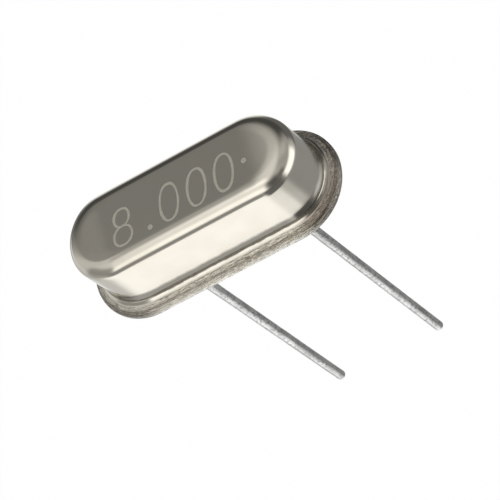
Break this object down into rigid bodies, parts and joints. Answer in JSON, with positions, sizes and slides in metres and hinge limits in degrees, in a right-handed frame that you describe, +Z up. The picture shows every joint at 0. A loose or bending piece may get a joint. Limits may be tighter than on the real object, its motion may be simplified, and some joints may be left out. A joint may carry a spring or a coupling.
{
  "type": "quartz crystal",
  "caption": "Low-profile quartz crystal in a stadium-shaped, flange-welded metal can with parallel wire leads for through-hole boards.",
  "frame": {"origin": "centre of the seating plane, on the underside of the base plate, midway between the leads", "axes": "+Z up through the can, leads along -Z; X along the length of the can, +X to the right lead; Y across its width"},
  "size_m": [0.011, 0.0046, 0.0185],
  "materials": {
    "can_metal": "satin drawn nickel silver",
    "base_metal": "nickel-plated steel",
    "lead_metal": "tinned wire",
    "seal_glass": "dark fused glass",
    "clip_metal": "bright spring strip",
    "quartz": "lapped clear quartz",
    "silver_film": "evaporated silver",
    "silver_adhesive": "silver-filled epoxy"
  },
  "bodies": {
    "root": {"cover": "can_metal", "base_plate": "base_metal", "lead_left": "lead_metal", "lead_right": "lead_metal", "glass_seal_left": "seal_glass", "glass_seal_right": "seal_glass", "clip_left": "clip_metal", "clip_right": "clip_metal", "quartz_blank": "quartz", "electrode_top": "silver_film", "electrode_bottom": "silver_film", "adhesive_left": "silver_adhesive", "adhesive_right": "silver_adhesive"}
  },
  "joints": []
}
